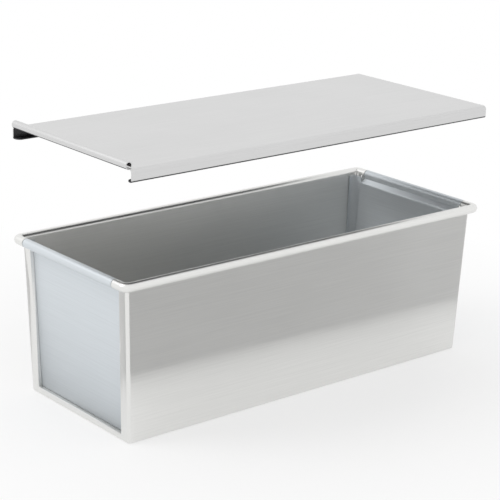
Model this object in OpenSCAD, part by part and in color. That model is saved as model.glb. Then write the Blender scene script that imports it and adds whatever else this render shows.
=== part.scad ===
// Pullman loaf pan with its lid raised above it.
// X runs along the pan, Z up. The origin is the middle of the bottom's underside.

/* [Pan] */
// Overall length over the rolled rim
rim_length = 323; // [240:1:420]
// Overall width over the rolled rim
rim_width = 134; // [100:1:200]
// Height to the top of the rim
height = 114; // [80:1:160]
// Length of the pan at the bottom
bottom_length = 303; // [220:1:305]
// Width of the pan at the bottom
bottom_width = 117; // [80:1:119]
// Thickness of the pan's sheet
sheet = 0.8; // [0.6:0.1:1.2]
// Outer radius of the four upright corners
corner_r = 3; // [2.4:0.1:6]
// Outer radius of the bend round the bottom
base_bend_r = 1.6; // [1.4:0.1:2.2]

/* [Rim] */
// Diameter of the rolled rim
bead_d = 6.4; // [5:0.1:9]
// Outer radius of the rim's corners, seen from above
rim_corner_r = 6.6; // [6.5:0.1:14]
// Gap between the wire and the sheet that is rolled over it
wire_fit = 0.2; // [0.1:0.05:0.5]
// Slit left open where the rolled edge comes back to the wall
curl_gap = 1.2; // [0.6:0.1:1.6]
// Gap between the rolled edges of the body and of an end plate
seam_gap = 0.3; // [0.1:0.1:1]

/* [Ends] */
// Width of the flat band beside each end panel
band_w = 9; // [6:0.5:20]
// Height of the flat band under each end panel
foot_band_h = 5; // [4:0.5:20]
// Depth by which each end panel is sunk
recess = 3.2; // [2.5:0.1:6]
// Chamfer round the sunk panel's opening
frame_chamfer = 0.5; // [0.2:0.1:0.5]
// Width of the end plate's flanges
flange_w = 6; // [4:0.5:12]
// Gap between an end plate and the body it is fixed to
plate_fit = 0.1; // [0.05:0.05:0.3]

/* [Lid] */
// Length of the lid
lid_length = 318; // [230:1:420]
// How far the grip's edge lies inside the rim's end
lid_end_inset = 1.5; // [-10:0.5:10]
// Thickness of the lid's sheet
lid_sheet = 0.8; // [0.6:0.1:1.2]
// Outer radius of the folds along the lid's top
lid_fold_r = 2.6; // [1.6:0.1:3.2]
// Outer radius of the bends above the lips
lip_bend_r = 1.4; // [1.3:0.1:2]
// Rounding of the lips' ends, seen from above
lip_end_r = 4; // [1:0.5:5]
// Diameter of the curled grip
grip_d = 5.4; // [4:0.1:9]
// Gap between the grip's ends and the folds
grip_end_gap = 0.6; // [0:0.1:5]
// Opening left under the grip's curled edge
grip_slit = 0.8; // [0.4:0.1:1.2]

/* [Fit of the lid] */
// Gap between the closed lid and the top of the rim
rest_gap = 0.3; // [0.2:0.1:1]
// Gap between the rim and the lid's sides
side_gap = 0.7; // [0.3:0.1:1.5]
// Gap between the rim's underside and the lips
lip_gap = 0.4; // [0.3:0.1:1.5]
// Gap between the walls and the lips' edges
lip_wall_gap = 0.7; // [0.3:0.1:1.5]
// Height by which the lid is raised from its closed place
lid_raise = 73.8; // [0:0.1:150]

/* [Hidden] */
$fn = 64;
hull_fn = 32;
least_r = 0.3;

bead_r = bead_d / 2;
rim_z = height - bead_r;
wall_length = rim_length - 2 * (bead_d - sheet);
wall_width = rim_width - 2 * (bead_d - sheet);
rim_x = rim_length / 2 - bead_r;
rim_y = rim_width / 2 - bead_r;
rim_turn_r = rim_corner_r - bead_r;
seam_y = wall_width / 2 - band_w;
joggle_z = rim_z - bead_r - recess;
ear_z = rim_z - bead_r / 2;

lid_seat_z = height + rest_gap;
lid_top_z = lid_seat_z + lid_sheet;
lid_low_z = height - bead_d - lip_gap - lid_sheet;
lid_half = rim_width / 2 + side_gap + lid_sheet;
lid_mouth = wall_width / 2 + lip_wall_gap;
grip_r = grip_d / 2;
lid_start_x = -rim_length / 2 + lid_end_inset;
lid_flat_x = lid_start_x + grip_r;
lid_end_x = lid_start_x + lid_length;

function end_x(z) = bottom_length / 2 + (wall_length - bottom_length) / 2 * z / rim_z;
function side_y(z) = bottom_width / 2 + (wall_width - bottom_width) / 2 * z / rim_z;
function window_y(z) = side_y(z) - band_w;

// A flat outline in Y and Z, drawn out along X between two places.
module along_x(x0, x1) {
    translate([x0, 0, 0])
        rotate([90, 0, 90])
            linear_extrude(x1 - x0) children();
}

// A flat outline in X and Z, drawn out along Y to both sides of the middle.
module along_y(half) {
    rotate([90, 0, 0])
        linear_extrude(2 * half, center = true) children();
}

// The pan's tapered outside, drawn in by inset on every side.
module skin(inset) {
    post_r = max(corner_r - inset, 2 * least_r);
    foot_r = min(max(base_bend_r - inset, least_r), post_r - least_r / 2);
    foot_z = inset + foot_r;
    hull() {
        for (mx = [0, 1], my = [0, 1]) mirror([mx, 0, 0]) mirror([0, my, 0]) {
            translate([end_x(foot_z) - inset - post_r, side_y(foot_z) - inset - post_r, foot_z])
                rotate_extrude($fn = hull_fn)
                    intersection() {
                        union() {
                            translate([post_r - foot_r, 0]) circle(foot_r);
                            translate([0, -foot_r]) square([post_r - foot_r, 2 * foot_r]);
                        }
                        translate([0, -foot_r]) square([post_r, 2 * foot_r]);
                    }
            translate([end_x(rim_z) - inset - post_r, side_y(rim_z) - inset - post_r, rim_z])
                cylinder(h = 1, r = post_r, $fn = hull_fn);
        }
    }
}

// A sheet that lies parallel to the right end's outside, from depth d0 to depth d1.
module end_slab(d0, d1, z1) {
    along_y(rim_width / 2)
        polygon([
            [end_x(0) - d1, 0],
            [end_x(0) - d0, 0],
            [end_x(z1) - d0, z1],
            [end_x(z1) - d1, z1]
        ]);
}

// The opening in the right end's frame, widened by grow and open at the top.
module window_outline(grow) {
    z0 = foot_band_h - grow;
    z1 = height;
    polygon([
        [-window_y(z0) - grow, z0],
        [window_y(z0) + grow, z0],
        [window_y(z1) + grow, z1],
        [-window_y(z1) - grow, z1]
    ]);
}

module window_slice(d, grow) {
    slice = 0.01;
    intersection() {
        end_slab(d, d + slice, height);
        along_x(0, rim_length / 2) window_outline(grow);
    }
}

// The cut for the sunk panel, with its chamfered mouth.
module window_cut() {
    intersection() {
        end_slab(-bead_d, recess, height);
        along_x(0, rim_length / 2) window_outline(0);
    }
    hull() {
        window_slice(-frame_chamfer, 2 * frame_chamfer);
        window_slice(frame_chamfer, 0);
    }
}

// The lips that turn in from the band round the sunk panel.
module frame_lips() {
    intersection() {
        end_slab(0, recess - plate_fit, rim_z);
        along_x(0, rim_length / 2)
            difference() {
                window_outline(sheet);
                window_outline(0);
            }
    }
}

// The rolled sheet in section: outward is +X, the wall comes up on the left.
module bead_section() {
    difference() {
        circle(bead_r);
        circle(bead_r - sheet);
        translate([sheet - bead_r, -bead_d]) square([curl_gap, bead_d]);
    }
}

// Half of the body's rolled rim: one long side and its two corners.
module body_bead() {
    along_x(rim_turn_r - rim_x, rim_x - rim_turn_r)
        translate([rim_y, rim_z]) bead_section();
    for (m = [0, 1]) mirror([m, 0, 0]) {
        translate([rim_x - rim_turn_r, rim_y - rim_turn_r, rim_z])
            rotate_extrude(angle = 90)
                translate([rim_turn_r, 0]) bead_section();
        translate([0, (seam_y + rim_y - rim_turn_r) / 2, 0])
            along_y((rim_y - rim_turn_r - seam_y) / 2)
                translate([rim_x, rim_z]) bead_section();
    }
}

module pan_body() {
    color([0.84, 0.84, 0.83]) {
        difference() {
            intersection() {
                skin(0);
                translate([-rim_length / 2, -rim_width / 2, 0]) cube([rim_length, rim_width, rim_z]);
            }
            skin(sheet);
            for (m = [0, 1]) mirror([m, 0, 0]) window_cut();
        }
        for (m = [0, 1]) mirror([m, 0, 0])
            difference() {
                frame_lips();
                window_cut();
            }
        for (m = [0, 1]) mirror([0, m, 0]) body_bead();
    }
}

// The end plate of the right end: panel, flanges, joggle and rolled edge.
module end_plate() {
    joggle_half = window_y(joggle_z) - seam_gap;
    bend = sheet * tan(22.5);
    panel_back = recess + sheet;
    difference() {
        intersection() {
            end_slab(recess, recess + flange_w, ear_z);
            skin(sheet + plate_fit);
        }
        difference() {
            end_slab(panel_back, recess + flange_w + 1, rim_z);
            difference() {
                cube([2 * rim_length, 2 * rim_width, 2 * height], center = true);
                skin(2 * sheet + plate_fit);
            }
        }
        translate([0, -joggle_half, joggle_z]) cube([rim_length, 2 * joggle_half, height]);
    }
    along_y(joggle_half)
        polygon([
            [end_x(joggle_z - 1) - panel_back, joggle_z - 1],
            [end_x(joggle_z - 1) - recess, joggle_z - 1],
            [end_x(joggle_z) - recess, joggle_z],
            [end_x(joggle_z + recess), joggle_z + recess],
            [end_x(rim_z), rim_z],
            [end_x(rim_z) - sheet, rim_z],
            [end_x(joggle_z + recess) - sheet, joggle_z + recess + bend],
            [end_x(joggle_z) - panel_back, joggle_z + bend]
        ]);
    along_y(joggle_half)
        translate([rim_x, rim_z]) bead_section();
}

module end_plate_right() {
    color([0.80, 0.82, 0.84]) end_plate();
}

module end_plate_left() {
    color([0.80, 0.82, 0.84]) mirror([1, 0, 0]) end_plate();
}

module rim_wire() {
    wire_r = bead_r - sheet - wire_fit;
    color([0.55, 0.55, 0.56]) {
        for (m = [0, 1]) mirror([0, m, 0])
            along_x(rim_turn_r - rim_x, rim_x - rim_turn_r)
                translate([rim_y, rim_z]) circle(wire_r);
        for (m = [0, 1]) mirror([m, 0, 0])
            along_y(rim_y - rim_turn_r)
                translate([rim_x, rim_z]) circle(wire_r);
        for (mx = [0, 1], my = [0, 1]) mirror([mx, 0, 0]) mirror([0, my, 0])
            translate([rim_x - rim_turn_r, rim_y - rim_turn_r, rim_z])
                rotate_extrude(angle = 90)
                    translate([rim_turn_r, 0]) circle(wire_r);
    }
}

// The corner that a bend of radius r takes off a square edge at the upper right.
module bend_corner(r) {
    difference() {
        square(r);
        circle(r);
    }
}

// The folded outline of the lid, drawn in by inset.
module lid_outline(inset) {
    half = lid_half - inset;
    z0 = lid_low_z + inset;
    z1 = lid_top_z - inset;
    top_r = lid_fold_r - inset;
    low_r = lip_bend_r - inset;
    difference() {
        translate([-half, z0]) square([2 * half, z1 - z0]);
        for (m = [0, 1]) mirror([m, 0]) {
            translate([half - top_r, z1 - top_r]) bend_corner(top_r);
            translate([half - low_r, z0 + low_r]) mirror([0, 1]) bend_corner(low_r);
        }
    }
}

module lid_section() {
    difference() {
        lid_outline(0);
        lid_outline(lid_sheet);
        translate([-lid_mouth, lid_low_z - lid_sheet]) square([2 * lid_mouth, 3 * lid_sheet]);
    }
}

module grip_section() {
    difference() {
        circle(grip_r);
        circle(grip_r - lid_sheet);
        translate([0, -grip_d])
            square([grip_d, grip_d - grip_r + lid_sheet + grip_slit]);
    }
}

// What rounds the free corner of one lip, at the lid's right end.
module lip_end_cut() {
    translate([lid_end_x - lip_end_r, lid_mouth + lip_end_r, lid_low_z - lid_sheet])
        linear_extrude(2 * lid_sheet + lid_sheet / 2)
            difference() {
                translate([0, -2 * lip_end_r]) square(2 * lip_end_r);
                circle(lip_end_r);
            }
}

module lid() {
    lid_mid_x = (lid_flat_x + lid_end_x) / 2;
    color([0.80, 0.80, 0.80])
        translate([0, 0, lid_raise]) {
            difference() {
                along_x(lid_flat_x, lid_end_x) lid_section();
                for (m = [0, 1]) mirror([0, m, 0]) {
                    lip_end_cut();
                    translate([lid_mid_x, 0, 0]) mirror([1, 0, 0]) translate([-lid_mid_x, 0, 0])
                        lip_end_cut();
                }
            }
            along_y(lid_half - lid_fold_r - grip_end_gap)
                translate([lid_flat_x, lid_seat_z + grip_r]) grip_section();
        }
}

pan_body();
end_plate_left();
end_plate_right();
rim_wire();
lid();
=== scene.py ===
import math

import bmesh
import bpy
from mathutils import Matrix, Vector


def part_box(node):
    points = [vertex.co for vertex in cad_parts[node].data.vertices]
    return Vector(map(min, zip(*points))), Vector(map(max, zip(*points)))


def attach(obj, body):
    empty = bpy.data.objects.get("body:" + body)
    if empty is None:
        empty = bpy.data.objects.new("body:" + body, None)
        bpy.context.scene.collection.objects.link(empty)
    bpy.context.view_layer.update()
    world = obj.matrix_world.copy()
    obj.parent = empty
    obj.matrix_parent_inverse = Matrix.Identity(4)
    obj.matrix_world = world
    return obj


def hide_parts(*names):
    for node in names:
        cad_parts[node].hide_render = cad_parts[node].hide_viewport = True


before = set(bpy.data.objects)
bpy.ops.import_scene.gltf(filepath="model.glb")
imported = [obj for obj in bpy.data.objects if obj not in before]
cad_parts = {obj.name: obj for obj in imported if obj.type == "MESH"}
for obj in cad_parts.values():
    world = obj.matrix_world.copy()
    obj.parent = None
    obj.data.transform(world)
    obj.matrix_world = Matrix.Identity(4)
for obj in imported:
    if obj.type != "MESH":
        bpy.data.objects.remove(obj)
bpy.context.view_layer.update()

bl_info = {
    "name": "Pullman Loaf Pan",
    "version": (1, 0, 0),
    "blender": (4, 5, 0),
    "location": "3D View > Sidebar > Loaf Pan",
    "description": "Finishes a folded sheet loaf pan and its raised lid",
    "category": "Object",
}

LID_LOW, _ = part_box("lid")

# Corners closer than this are one corner, in metres
MERGE_DISTANCE = 1e-6

# A lid face gets painted shade when its normal points down, or into the channel, by more than
# this
SHADE_FACING_DOWN = -0.5
SHADE_FACING_IN = -0.3


class PanLooks(bpy.types.PropertyGroup):
    """Colours and finishes of the pan and its lid"""

    body_colour: bpy.props.FloatVectorProperty(
        name="Body colour", description="Colour of the brushed body sheet",
        default=(0.80, 0.80, 0.785), size=3, subtype="COLOR",
    )
    end_colour: bpy.props.FloatVectorProperty(
        name="End colour", description="Colour of the sunk end plates",
        default=(0.68, 0.72, 0.75), size=3, subtype="COLOR",
    )
    lid_colour: bpy.props.FloatVectorProperty(
        name="Lid colour", description="Colour of the lid's outside",
        default=(0.66, 0.66, 0.66), size=3, subtype="COLOR",
    )
    # Painted shade: a near-black colour on the lid's down-facing and inward faces and lowest
    # lips, where there is only shade
    lid_painted_shade_colour: bpy.props.FloatVectorProperty(
        name="Lid painted shade colour", description="Colour of the lid's dark inside",
        default=(0.035, 0.035, 0.038), size=3, subtype="COLOR",
    )
    wire_colour: bpy.props.FloatVectorProperty(
        name="Wire colour", description="Colour of the rim's steel wire",
        default=(0.5, 0.5, 0.51), size=3, subtype="COLOR",
    )
    grain_width: bpy.props.FloatProperty(
        name="Grain width", description="Width of one line of the brushed grain",
        default=0.0006, unit="LENGTH",
    )
    grain_stretch: bpy.props.FloatProperty(
        name="Grain stretch", description="Width of a grain line as a share of its length",
        default=0.012, subtype="FACTOR",
    )
    grain_contrast: bpy.props.FloatProperty(
        name="Grain contrast", description="How far the grain lightens or darkens the sheet",
        default=0.07, subtype="FACTOR",
    )
    grain_strength: bpy.props.FloatProperty(
        name="Grain strength", description="How far the grain tilts the light on the sheet",
        default=0.12, subtype="FACTOR",
    )
    grain_depth: bpy.props.FloatProperty(
        name="Grain depth", description="Depth of the grain's lines",
        default=0.00004, unit="LENGTH",
    )
    cloud_size: bpy.props.FloatProperty(
        name="Cloud size", description="Size of the duller and shinier patches",
        default=0.06, unit="LENGTH",
    )
    sheet_rough: bpy.props.FloatVectorProperty(
        name="Sheet roughness", description="Least and most roughness of the sheet and wire",
        default=(0.30, 0.42), size=2,
    )
    end_rough: bpy.props.FloatVectorProperty(
        name="End roughness", description="Least and most roughness of the end plates",
        default=(0.4, 0.5), size=2,
    )
    sheet_metallic: bpy.props.FloatProperty(
        name="Sheet metallic", description="How far the sheet and wire mirror as bare metal",
        default=1.0, subtype="FACTOR",
    )
    end_metallic: bpy.props.FloatProperty(
        name="End metallic", description="How far the end plates mirror as bare metal",
        default=0.6, subtype="FACTOR",
    )
    # Roughness of the lid's painted shade
    lid_painted_shade_rough: bpy.props.FloatProperty(
        name="Lid painted shade roughness", description="Roughness of the lid's dark inside",
        default=0.45, subtype="FACTOR",
    )
    # How high above the lid's lowest point the painted shade runs along the lips
    lip_shade_height: bpy.props.FloatProperty(
        name="Lip painted shade height", description="Height of the dark lips above the lid's lowest point",
        default=0.0012, unit="LENGTH",
    )
    smooth_angle: bpy.props.FloatProperty(
        name="Smooth angle", description="Edges sharper than this stay sharp",
        default=math.radians(28), subtype="ANGLE",
    )


class StageSizes(bpy.types.PropertyGroup):
    """Camera, floor, lamp and room"""

    turn: bpy.props.FloatProperty(
        name="Turn", description="Camera's turn round the pan",
        default=math.radians(-39.01), subtype="ANGLE",
    )
    rise: bpy.props.FloatProperty(
        name="Rise", description="Camera's angle above the horizon",
        default=math.radians(17.72), subtype="ANGLE",
    )
    roll: bpy.props.FloatProperty(
        name="Roll", description="Camera's roll", default=math.radians(1.24), subtype="ANGLE",
    )
    distance: bpy.props.FloatProperty(
        name="Distance", description="Camera's distance", default=1.251, unit="LENGTH",
    )
    aside: bpy.props.FloatProperty(
        name="Aside", description="Camera's place to the right", default=-0.02015, unit="LENGTH",
    )
    up: bpy.props.FloatProperty(
        name="Up", description="Camera's place upwards", default=0.08545, unit="LENGTH",
    )
    lens: bpy.props.FloatProperty(
        name="Lens", description="Focal length in millimetres", default=123.2,
    )
    shift_x: bpy.props.FloatProperty(
        name="Shift across", description="Lens shift across", default=0.0534,
    )
    shift_y: bpy.props.FloatProperty(
        name="Shift up", description="Lens shift upwards", default=0.0021,
    )
    floor_size: bpy.props.FloatProperty(
        name="Floor size", description="Width of the floor", default=12.0, unit="LENGTH",
    )
    floor_drop: bpy.props.FloatProperty(
        name="Floor drop", description="Gap between the pan's bottom and the floor",
        default=0.0002, unit="LENGTH",
    )
    floor_colour: bpy.props.FloatVectorProperty(
        name="Floor colour", description="Colour of the floor",
        default=(0.9, 0.9, 0.9), size=3, subtype="COLOR",
    )
    floor_rough: bpy.props.FloatProperty(
        name="Floor roughness", description="Roughness of the floor",
        default=0.9, subtype="FACTOR",
    )
    white_from: bpy.props.FloatProperty(
        name="White from", description="Distance from the middle where the floor turns whiter",
        default=0.12, unit="LENGTH",
    )
    white_to: bpy.props.FloatProperty(
        name="White to", description="Distance from the middle where the floor is all white",
        default=0.40, unit="LENGTH",
    )
    white_share: bpy.props.FloatProperty(
        name="White share", description="Share of plain white in the floor under the pan",
        default=0.5, subtype="FACTOR",
    )
    room_low_colour: bpy.props.FloatVectorProperty(
        name="Low room colour", description="Colour of the room at the horizon and below",
        default=(0.6, 0.6, 0.6), size=3, subtype="COLOR",
    )
    room_high_colour: bpy.props.FloatVectorProperty(
        name="High room colour", description="Colour of the room overhead",
        default=(1, 1, 1), size=3, subtype="COLOR",
    )
    key_place: bpy.props.FloatVectorProperty(
        name="Lamp place", description="Place of the lamp",
        default=(-1.3, 0.7, 1.6), size=3, subtype="XYZ", unit="LENGTH",
    )
    key_aim: bpy.props.FloatVectorProperty(
        name="Lamp aim", description="Point that the lamp faces",
        default=(0, 0, 0.1), size=3, subtype="XYZ", unit="LENGTH",
    )
    key_size: bpy.props.FloatProperty(
        name="Lamp size", description="Width of the lamp", default=1.0, unit="LENGTH",
    )
    key_power: bpy.props.FloatProperty(
        name="Lamp power", description="Power of the lamp in watts", default=9.0,
    )


def new_material(name):
    """A material with its nodes, its links and its main shader."""
    material = bpy.data.materials.new(name)
    material.use_nodes = True
    nodes = material.node_tree.nodes
    return material, nodes, material.node_tree.links, nodes["Principled BSDF"]


def noise(nodes, links, place, scale, detail):
    """Noise at a place, as a value from 0 to 1."""
    texture = nodes.new("ShaderNodeTexNoise")
    texture.inputs["Scale"].default_value = scale
    texture.inputs["Detail"].default_value = detail
    links.new(place, texture.inputs["Vector"])
    return texture.outputs["Fac"]


def grain(nodes, links, along, looks):
    """Brushed grain: noise drawn out along one axis, as a value from 0 to 1."""
    place = nodes.new("ShaderNodeTexCoord")
    mapping = nodes.new("ShaderNodeMapping")
    across = 1 / looks.grain_width
    mapping.inputs["Scale"].default_value = [
        across * (looks.grain_stretch if axis == along else 1) for axis in "xyz"
    ]
    links.new(place.outputs["Object"], mapping.inputs["Vector"])
    return noise(nodes, links, mapping.outputs["Vector"], scale=1.0, detail=3.0)


def cloudy(nodes, links, size):
    """Broad, soft variation as a value from 0 to 1."""
    place = nodes.new("ShaderNodeTexCoord")
    return noise(nodes, links, place.outputs["Object"], scale=1 / size, detail=2.0)


def ranged(nodes, links, value, low, high):
    """A value from 0 to 1, stretched to run from low to high."""
    scale = nodes.new("ShaderNodeMapRange")
    scale.inputs["To Min"].default_value = low
    scale.inputs["To Max"].default_value = high
    links.new(value, scale.inputs["Value"])
    return scale.outputs["Result"]


def shaded(nodes, links, value, colour, spread):
    """A colour that varies by spread with a value."""
    mix = nodes.new("ShaderNodeMix")
    mix.data_type = "RGBA"
    mix.inputs["A"].default_value = [c * (1 - spread) for c in colour] + [1]
    mix.inputs["B"].default_value = [min(1, c * (1 + spread)) for c in colour] + [1]
    links.new(value, mix.inputs["Factor"])
    return mix.outputs["Result"]


def mixed(nodes, links, amount, first, second, end):
    """Two shaders mixed by an amount, as the whole material or world."""
    mix = nodes.new("ShaderNodeMixShader")
    links.new(amount, mix.inputs["Fac"])
    links.new(first, mix.inputs[1])
    links.new(second, mix.inputs[2])
    links.new(mix.outputs["Shader"], end.inputs["Surface"])


def brushed(name, colour, along, looks, rough, metallic):
    """Satin metal with its grain along one axis."""
    material, nodes, links, shader = new_material(name)
    lines = grain(nodes, links, along, looks)
    patches = cloudy(nodes, links, looks.cloud_size)
    shader.inputs["Metallic"].default_value = metallic
    links.new(
        shaded(nodes, links, lines, colour, looks.grain_contrast), shader.inputs["Base Color"]
    )
    links.new(ranged(nodes, links, patches, *rough), shader.inputs["Roughness"])
    bump = nodes.new("ShaderNodeBump")
    bump.inputs["Strength"].default_value = looks.grain_strength
    bump.inputs["Distance"].default_value = looks.grain_depth
    links.new(lines, bump.inputs["Height"])
    links.new(bump.outputs["Normal"], shader.inputs["Normal"])
    return material


def worked_out(nodes, links, kind, first, second):
    """One sum or test on two values, each a socket or a number."""
    step = nodes.new("ShaderNodeMath")
    step.operation = kind
    for socket, value in zip(step.inputs, (first, second)):
        if isinstance(value, float):
            socket.default_value = value
        else:
            links.new(value, socket)
    return step.outputs["Value"]


def lid_material(looks):
    """Brushed outside, with painted shade on the faces that look down or into the channels and
    on the lowest lips.
    """
    material = brushed(
        "lid_sheet", looks.lid_colour, "x", looks, looks.sheet_rough, looks.sheet_metallic
    )
    nodes, links = material.node_tree.nodes, material.node_tree.links
    outside = nodes["Principled BSDF"]
    # Near-black shader that paints shade on the lid
    inside = nodes.new("ShaderNodeBsdfPrincipled")
    inside.inputs["Base Color"].default_value = [*looks.lid_painted_shade_colour, 1]
    inside.inputs["Roughness"].default_value = looks.lid_painted_shade_rough
    place = nodes.new("ShaderNodeTexCoord")
    facing = nodes.new("ShaderNodeSeparateXYZ")
    point = nodes.new("ShaderNodeSeparateXYZ")
    links.new(place.outputs["Normal"], facing.inputs["Vector"])
    links.new(place.outputs["Object"], point.inputs["Vector"])

    def reckon(kind, first, second):
        return worked_out(nodes, links, kind, first, second)

    # Painted shade mask: faces looking down, faces looking into the channels, and the lowest
    # lips
    down = reckon("LESS_THAN", facing.outputs["Z"], SHADE_FACING_DOWN)
    side = reckon("SIGN", point.outputs["Y"], 0.0)
    outward = reckon("MULTIPLY", facing.outputs["Y"], side)
    inward = reckon("LESS_THAN", outward, SHADE_FACING_IN)
    lips = reckon("LESS_THAN", point.outputs["Z"], LID_LOW[2] + looks.lip_shade_height)
    painted_shade = reckon("MAXIMUM", reckon("MAXIMUM", down, inward), lips)
    end = nodes["Material Output"]
    mixed(nodes, links, painted_shade, outside.outputs["BSDF"], inside.outputs["BSDF"], end)
    return material


def finished(node, body, material, angle):
    """A smooth copy of a node with its doubles merged, standing in for it."""
    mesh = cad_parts[node].data.copy()
    mesh.name = f"{node}_finish"
    work = bmesh.new()
    work.from_mesh(mesh)
    bmesh.ops.remove_doubles(work, verts=work.verts, dist=MERGE_DISTANCE)
    work.to_mesh(mesh)
    work.free()
    if mesh.has_custom_normals:
        mesh.normals_split_custom_set([(0, 0, 0)] * len(mesh.loops))
    mesh.shade_smooth()
    mesh.set_sharp_from_angle(angle=angle)
    mesh.materials.clear()
    mesh.materials.append(material)
    piece = bpy.data.objects.new(f"{node}_finish", mesh)
    bpy.context.scene.collection.objects.link(piece)
    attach(piece, body)
    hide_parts(node)


class PAN_OT_body(bpy.types.Operator):
    """Finish the folded body sheet"""

    bl_idname = "loafpan.body"
    bl_label = "Body"

    def execute(self, context):
        looks = context.scene.pan_looks
        sheet = brushed(
            "body_sheet", looks.body_colour, "x", looks, looks.sheet_rough, looks.sheet_metallic
        )
        finished("pan_body", "pan", sheet, looks.smooth_angle)
        return {"FINISHED"}


class PAN_OT_ends(bpy.types.Operator):
    """Finish both sunk end plates"""

    bl_idname = "loafpan.ends"
    bl_label = "End plates"

    def execute(self, context):
        looks = context.scene.pan_looks
        sheet = brushed(
            "end_sheet", looks.end_colour, "y", looks, looks.end_rough, looks.end_metallic
        )
        for node in ("end_plate_left", "end_plate_right"):
            finished(node, "pan", sheet, looks.smooth_angle)
        return {"FINISHED"}


class PAN_OT_wire(bpy.types.Operator):
    """Finish the wire inside the rim"""

    bl_idname = "loafpan.wire"
    bl_label = "Rim wire"

    def execute(self, context):
        looks = context.scene.pan_looks
        steel = brushed(
            "wire", looks.wire_colour, "x", looks, looks.sheet_rough, looks.sheet_metallic
        )
        finished("rim_wire", "pan", steel, looks.smooth_angle)
        return {"FINISHED"}


class PAN_OT_lid(bpy.types.Operator):
    """Finish the lid, brushed outside, with painted shade inside"""

    bl_idname = "loafpan.lid"
    bl_label = "Lid"

    def execute(self, context):
        looks = context.scene.pan_looks
        finished("lid", "lid", lid_material(looks), looks.smooth_angle)
        return {"FINISHED"}


def shown(nodes, links):
    """1 for the rays that show the background: camera, glossy and transmission rays."""
    path = nodes.new("ShaderNodeLightPath")
    total = path.outputs["Is Camera Ray"]
    for name in ("Is Glossy Ray", "Is Transmission Ray"):
        total = worked_out(nodes, links, "MAXIMUM", total, path.outputs[name])
    return total


def floor_material(sizes):
    """A pale matt floor that turns to plain white away from the pan."""
    material, nodes, links, shader = new_material("floor")
    shader.inputs["Base Color"].default_value = [*sizes.floor_colour, 1]
    shader.inputs["Roughness"].default_value = sizes.floor_rough
    shader.inputs["Specular IOR Level"].default_value = 0.0
    material.cycles.emission_sampling = "NONE"
    white = nodes.new("ShaderNodeEmission")
    place = nodes.new("ShaderNodeTexCoord")
    reach = nodes.new("ShaderNodeVectorMath")
    reach.operation = "LENGTH"
    fade = nodes.new("ShaderNodeMapRange")
    fade.inputs["From Min"].default_value = sizes.white_from
    fade.inputs["From Max"].default_value = sizes.white_to
    fade.inputs["To Min"].default_value = sizes.white_share
    links.new(place.outputs["Object"], reach.inputs[0])
    links.new(reach.outputs["Value"], fade.inputs["Value"])
    rays = shown(nodes, links)
    amount = worked_out(nodes, links, "MULTIPLY", fade.outputs["Result"], rays)
    end = nodes["Material Output"]
    mixed(nodes, links, amount, shader.outputs["BSDF"], white.outputs["Emission"], end)
    return material


def make_floor(sizes):
    """The floor just under the pan."""
    mesh = bpy.data.meshes.new("floor")
    half = sizes.floor_size / 2
    corners = [(-half, -half, 0), (half, -half, 0), (half, half, 0), (-half, half, 0)]
    mesh.from_pydata(corners, [], [(0, 1, 2, 3)])
    mesh.materials.append(floor_material(sizes))
    floor = bpy.data.objects.new("floor", mesh)
    floor.location.z = -sizes.floor_drop
    bpy.context.scene.collection.objects.link(floor)
    return floor


def make_world(sizes):
    """A soft room: bright above, greyer low down, white where the background shows."""
    world = bpy.data.worlds.new("room")
    bpy.context.scene.world = world
    world.use_nodes = True
    nodes, links = world.node_tree.nodes, world.node_tree.links
    room = nodes["Background"]
    place = nodes.new("ShaderNodeTexCoord")
    split = nodes.new("ShaderNodeSeparateXYZ")
    ramp = nodes.new("ShaderNodeValToRGB")
    low, high = ramp.color_ramp.elements
    low.color = (*sizes.room_low_colour, 1)
    high.color = (*sizes.room_high_colour, 1)
    links.new(place.outputs["Generated"], split.inputs["Vector"])
    links.new(split.outputs["Z"], ramp.inputs["Fac"])
    links.new(ramp.outputs["Color"], room.inputs["Color"])
    white = nodes.new("ShaderNodeBackground")
    white.inputs["Color"].default_value = (1, 1, 1, 1)
    rays, end = shown(nodes, links), nodes["World Output"]
    mixed(nodes, links, rays, room.outputs["Background"], white.outputs["Background"], end)


def make_lamp(sizes):
    """The one soft lamp, behind the pan and to its left."""
    data = bpy.data.lights.new("key", "AREA")
    data.size = sizes.key_size
    data.energy = sizes.key_power
    lamp = bpy.data.objects.new("key", data)
    place = Vector(sizes.key_place)
    lamp.location = place
    lamp.rotation_mode = "QUATERNION"
    lamp.rotation_quaternion = (Vector(sizes.key_aim) - place).to_track_quat("-Z", "Y")
    bpy.context.scene.collection.objects.link(lamp)
    return lamp


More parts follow.
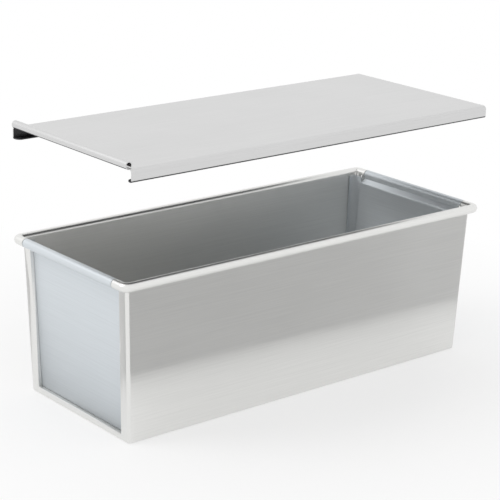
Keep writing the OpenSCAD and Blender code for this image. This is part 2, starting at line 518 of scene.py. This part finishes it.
def make_camera(sizes):
    """The camera, placed by its turn, rise, roll and distance."""
    turn, rise, roll = sizes.turn, sizes.rise, sizes.roll
    back = Vector(
        (math.sin(turn) * math.cos(rise), -math.cos(turn) * math.cos(rise), math.sin(rise))
    )
    level = (-back).cross(Vector((0, 0, 1))).normalized()
    upright = level.cross(-back)
    right = level * math.cos(roll) + upright * math.sin(roll)
    upward = upright * math.cos(roll) - level * math.sin(roll)
    data = bpy.data.cameras.new("camera")
    data.lens = sizes.lens
    data.shift_x, data.shift_y = sizes.shift_x, sizes.shift_y
    camera = bpy.data.objects.new("camera", data)
    bpy.context.scene.collection.objects.link(camera)
    place = back * sizes.distance + right * sizes.aside + upward * sizes.up
    facing = Matrix((right, upward, back)).transposed().to_4x4()
    camera.matrix_world = Matrix.Translation(place) @ facing
    bpy.context.scene.camera = camera


class PAN_OT_stage(bpy.types.Operator):
    """Make the floor, the light and the camera"""

    bl_idname = "loafpan.stage"
    bl_label = "Stage"

    def execute(self, context):
        sizes = context.scene.pan_stage
        make_world(sizes)
        floor = make_floor(sizes)
        key = make_lamp(sizes)
        make_camera(sizes)
        context.scene.view_settings.view_transform = "Standard"
        return {"FINISHED"}


class PAN_PT_panel(bpy.types.Panel):
    """Lists the pieces, the looks and the stage"""

    bl_label = "Loaf Pan"
    bl_idname = "PAN_PT_panel"
    bl_space_type = "VIEW_3D"
    bl_region_type = "UI"
    bl_category = "Loaf Pan"

    def draw(self, context):
        for operator in OPERATORS:
            self.layout.operator(operator.bl_idname)
        for group in (context.scene.pan_looks, context.scene.pan_stage):
            for name in type(group).__annotations__:
                self.layout.prop(group, name)


OPERATORS = (PAN_OT_body, PAN_OT_ends, PAN_OT_wire, PAN_OT_lid, PAN_OT_stage)
CLASSES = (PanLooks, StageSizes, *OPERATORS, PAN_PT_panel)


def register():
    for kind in CLASSES:
        bpy.utils.register_class(kind)
    bpy.types.Scene.pan_looks = bpy.props.PointerProperty(type=PanLooks)
    bpy.types.Scene.pan_stage = bpy.props.PointerProperty(type=StageSizes)


def unregister():
    del bpy.types.Scene.pan_looks
    del bpy.types.Scene.pan_stage
    for kind in reversed(CLASSES):
        bpy.utils.unregister_class(kind)


def main():
    register()
    bpy.ops.loafpan.body()
    bpy.ops.loafpan.ends()
    bpy.ops.loafpan.wire()
    bpy.ops.loafpan.lid()
    bpy.ops.loafpan.stage()


if __name__ == "__main__":
    main()
